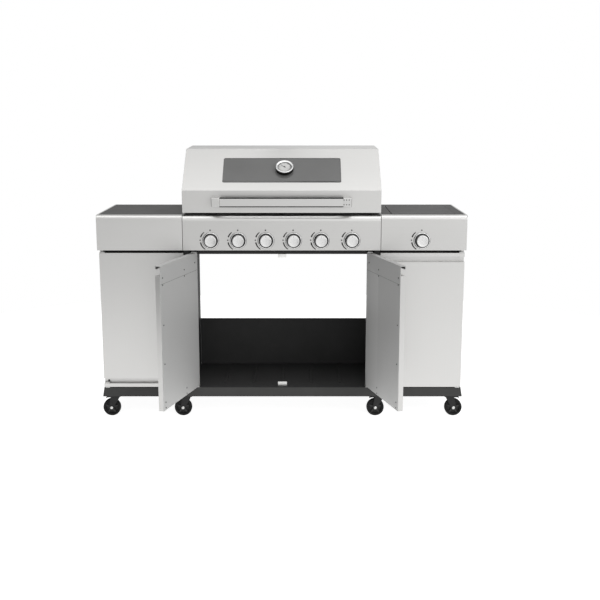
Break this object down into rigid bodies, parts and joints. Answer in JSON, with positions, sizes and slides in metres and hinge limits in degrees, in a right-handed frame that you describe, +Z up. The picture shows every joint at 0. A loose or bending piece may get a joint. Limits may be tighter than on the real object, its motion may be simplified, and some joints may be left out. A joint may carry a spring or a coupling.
{
  "type": "gas barbecue grill",
  "caption": "Trolley gas grill: hinged lid with window and thermometer, control panel with knobs, side burner, cabinet doors and casters.",
  "frame": {"origin": "on the ground, at the middle of the footprint of the whole object with its two centre doors standing open", "axes": "+X along the width towards the side burner, +Y from the control panels to the back, +Z up"},
  "size_m": [1.614, 0.8036, 1.187],
  "materials": {
    "stainless": "brushed along the width",
    "stainless_inner": "plain mill finish",
    "worktop_steel": "dark satin enamel",
    "black_enamel": "satin black",
    "cast_iron": "matt",
    "zinc": "bright zinc plate",
    "knob_metal": "satin chrome",
    "smoked_glass": "smoked, polished",
    "brass": "plain",
    "wheel_plastic": "moulded, fine grain"
  },
  "bodies": {
    "cart": {"base_frame": "black_enamel", "floor_pans": "black_enamel", "outer_side_panels": "stainless", "partition_panels": "black_enamel", "side_back_panels": "black_enamel", "centre_back_panel": "black_enamel", "crossbeams": "black_enamel", "door_catches": "zinc", "hinge_pins": "zinc", "caster_plates": "zinc", "control_panel": "stainless", "left_fascia": "stainless", "right_fascia": "stainless", "left_worktop": "worktop_steel", "right_worktop": "worktop_steel", "knob_bezels": "knob_metal", "gas_manifold": "brass", "firebox": "cast_iron", "burners": "stainless_inner", "flame_tamers": "stainless_inner", "cooking_grates": "cast_iron", "griddle_plate": "cast_iron", "warming_rack": "stainless_inner", "side_burner": "cast_iron", "screws": "zinc"},
    "lid": {"lid_shell": "stainless", "lid_window": "smoked_glass", "lid_handle": "stainless", "lid_thermometer": "knob_metal"},
    "left_door": {"left_door_skin": "stainless", "left_door_liner": "stainless_inner"},
    "right_door": {"right_door_skin": "stainless", "right_door_liner": "stainless_inner"},
    "left_cabinet_door": {"left_side_door": "stainless"},
    "right_cabinet_door": {"right_side_door": "stainless"},
    "tray": {"grease_tray": "stainless_inner"},
    "burner_cover": {"side_burner_lid": "worktop_steel"},
    "knob_1": {"knob_1": "knob_metal"},
    "knob_2": {"knob_2": "knob_metal"},
    "knob_3": {"knob_3": "knob_metal"},
    "knob_4": {"knob_4": "knob_metal"},
    "knob_5": {"knob_5": "knob_metal"},
    "knob_6": {"knob_6": "knob_metal"},
    "knob_7": {"knob_7": "knob_metal"},
    "fork_1": {"caster_fork_1": "black_enamel"},
    "wheel_1": {"caster_wheel_1": "wheel_plastic"},
    "fork_2": {"caster_fork_2": "black_enamel"},
    "wheel_2": {"caster_wheel_2": "wheel_plastic"},
    "fork_3": {"caster_fork_3": "black_enamel"},
    "wheel_3": {"caster_wheel_3": "wheel_plastic"},
    "fork_4": {"caster_fork_4": "black_enamel"},
    "wheel_4": {"caster_wheel_4": "wheel_plastic"},
    "fork_5": {"caster_fork_5": "black_enamel"},
    "wheel_5": {"caster_wheel_5": "wheel_plastic"},
    "fork_6": {"caster_fork_6": "black_enamel"},
    "wheel_6": {"caster_wheel_6": "wheel_plastic"},
    "fork_7": {"caster_fork_7": "black_enamel"},
    "wheel_7": {"caster_wheel_7": "wheel_plastic"},
    "fork_8": {"caster_fork_8": "black_enamel"},
    "wheel_8": {"caster_wheel_8": "wheel_plastic"}
  },
  "joints": [
    {"name": "lid_hinge", "type": "hinge", "parent": "cart", "child": "lid", "pos_m": [0, 0.38484, 0.94], "axis": [-1, 0, 0], "range_deg": [0, 80]},
    {"name": "left_door_hinge", "type": "hinge", "parent": "cart", "child": "left_door", "pos_m": [-0.385, -0.03016, 0.44], "axis": [0, 0, 1], "range_deg": [0, 106]},
    {"name": "right_door_hinge", "type": "hinge", "parent": "cart", "child": "right_door", "pos_m": [0.385, -0.03016, 0.44], "axis": [0, 0, -1], "range_deg": [0, 106]},
    {"name": "left_cabinet_door_hinge", "type": "hinge", "parent": "cart", "child": "left_cabinet_door", "pos_m": [-0.783, -0.03016, 0.44], "axis": [0, 0, -1], "range_deg": [0, 105]},
    {"name": "right_cabinet_door_hinge", "type": "hinge", "parent": "cart", "child": "right_cabinet_door", "pos_m": [0.783, -0.03016, 0.44], "axis": [0, 0, 1], "range_deg": [0, 105]},
    {"name": "tray_slide", "type": "slide", "parent": "cart", "child": "tray", "axis": [0, 1, 0], "range_m": [0, 0.33]},
    {"name": "burner_cover_hinge", "type": "hinge", "parent": "cart", "child": "burner_cover", "pos_m": [0.6115, 0.33734, 0.908], "axis": [-1, 0, 0], "range_deg": [0, 95]},
    {"name": "knob_1_turn", "type": "hinge", "parent": "cart", "child": "knob_1", "pos_m": [-0.306, -0.08516, 0.8005], "axis": [0, -1, 0], "range_deg": [0, 210]},
    {"name": "knob_2_turn", "type": "hinge", "parent": "cart", "child": "knob_2", "pos_m": [-0.187, -0.08516, 0.8005], "axis": [0, -1, 0], "range_deg": [0, 210]},
    {"name": "knob_3_turn", "type": "hinge", "parent": "cart", "child": "knob_3", "pos_m": [-0.068, -0.08516, 0.8005], "axis": [0, -1, 0], "range_deg": [0, 210]},
    {"name": "knob_4_turn", "type": "hinge", "parent": "cart", "child": "knob_4", "pos_m": [0.051, -0.08516, 0.8005], "axis": [0, -1, 0], "range_deg": [0, 210]},
    {"name": "knob_5_turn", "type": "hinge", "parent": "cart", "child": "knob_5", "pos_m": [0.17, -0.08516, 0.8005], "axis": [0, -1, 0], "range_deg": [0, 210]},
    {"name": "knob_6_turn", "type": "hinge", "parent": "cart", "child": "knob_6", "pos_m": [0.303, -0.08516, 0.8005], "axis": [0, -1, 0], "range_deg": [0, 210]},
    {"name": "knob_7_turn", "type": "hinge", "parent": "cart", "child": "knob_7", "pos_m": [0.604, -0.08516, 0.8005], "axis": [0, -1, 0], "range_deg": [0, 210]},
    {"name": "caster_1_swivel", "type": "hinge", "parent": "cart", "child": "fork_1", "pos_m": [-0.753, -0.01716, 0.0865], "axis": [0, 0, 1], "continuous": true},
    {"name": "caster_1_roll", "type": "hinge", "parent": "fork_1", "child": "wheel_1", "pos_m": [-0.768, -0.01716, 0.039], "axis": [0, 1, 0], "continuous": true},
    {"name": "caster_2_swivel", "type": "hinge", "parent": "cart", "child": "fork_2", "pos_m": [-0.432, -0.01716, 0.0865], "axis": [0, 0, 1], "continuous": true},
    {"name": "caster_2_roll", "type": "hinge", "parent": "fork_2", "child": "wheel_2", "pos_m": [-0.447, -0.01716, 0.039], "axis": [0, 1, 0], "continuous": true},
    {"name": "caster_3_swivel", "type": "hinge", "parent": "cart", "child": "fork_3", "pos_m": [0.432, -0.01716, 0.0865], "axis": [0, 0, 1], "continuous": true},
    {"name": "caster_3_roll", "type": "hinge", "parent": "fork_3", "child": "wheel_3", "pos_m": [0.417, -0.01716, 0.039], "axis": [0, 1, 0], "continuous": true},
    {"name": "caster_4_swivel", "type": "hinge", "parent": "cart", "child": "fork_4", "pos_m": [0.753, -0.01716, 0.0865], "axis": [0, 0, 1], "continuous": true},
    {"name": "caster_4_roll", "type": "hinge", "parent": "fork_4", "child": "wheel_4", "pos_m": [0.768, -0.01716, 0.039], "axis": [0, 1, 0], "continuous": true},
    {"name": "caster_5_swivel", "type": "hinge", "parent": "cart", "child": "fork_5", "pos_m": [-0.753, 0.35484, 0.0865], "axis": [0, 0, 1], "continuous": true},
    {"name": "caster_5_roll", "type": "hinge", "parent": "fork_5", "child": "wheel_5", "pos_m": [-0.768, 0.35484, 0.039], "axis": [0, 1, 0], "continuous": true},
    {"name": "caster_6_swivel", "type": "hinge", "parent": "cart", "child": "fork_6", "pos_m": [-0.432, 0.35484, 0.0865], "axis": [0, 0, 1], "continuous": true},
    {"name": "caster_6_roll", "type": "hinge", "parent": "fork_6", "child": "wheel_6", "pos_m": [-0.447, 0.35484, 0.039], "axis": [0, 1, 0], "continuous": true},
    {"name": "caster_7_swivel", "type": "hinge", "parent": "cart", "child": "fork_7", "pos_m": [0.432, 0.35484, 0.0865], "axis": [0, 0, 1], "continuous": true},
    {"name": "caster_7_roll", "type": "hinge", "parent": "fork_7", "child": "wheel_7", "pos_m": [0.417, 0.35484, 0.039], "axis": [0, 1, 0], "continuous": true},
    {"name": "caster_8_swivel", "type": "hinge", "parent": "cart", "child": "fork_8", "pos_m": [0.753, 0.35484, 0.0865], "axis": [0, 0, 1], "continuous": true},
    {"name": "caster_8_roll", "type": "hinge", "parent": "fork_8", "child": "wheel_8", "pos_m": [0.768, 0.35484, 0.039], "axis": [0, 1, 0], "continuous": true}
  ]
}
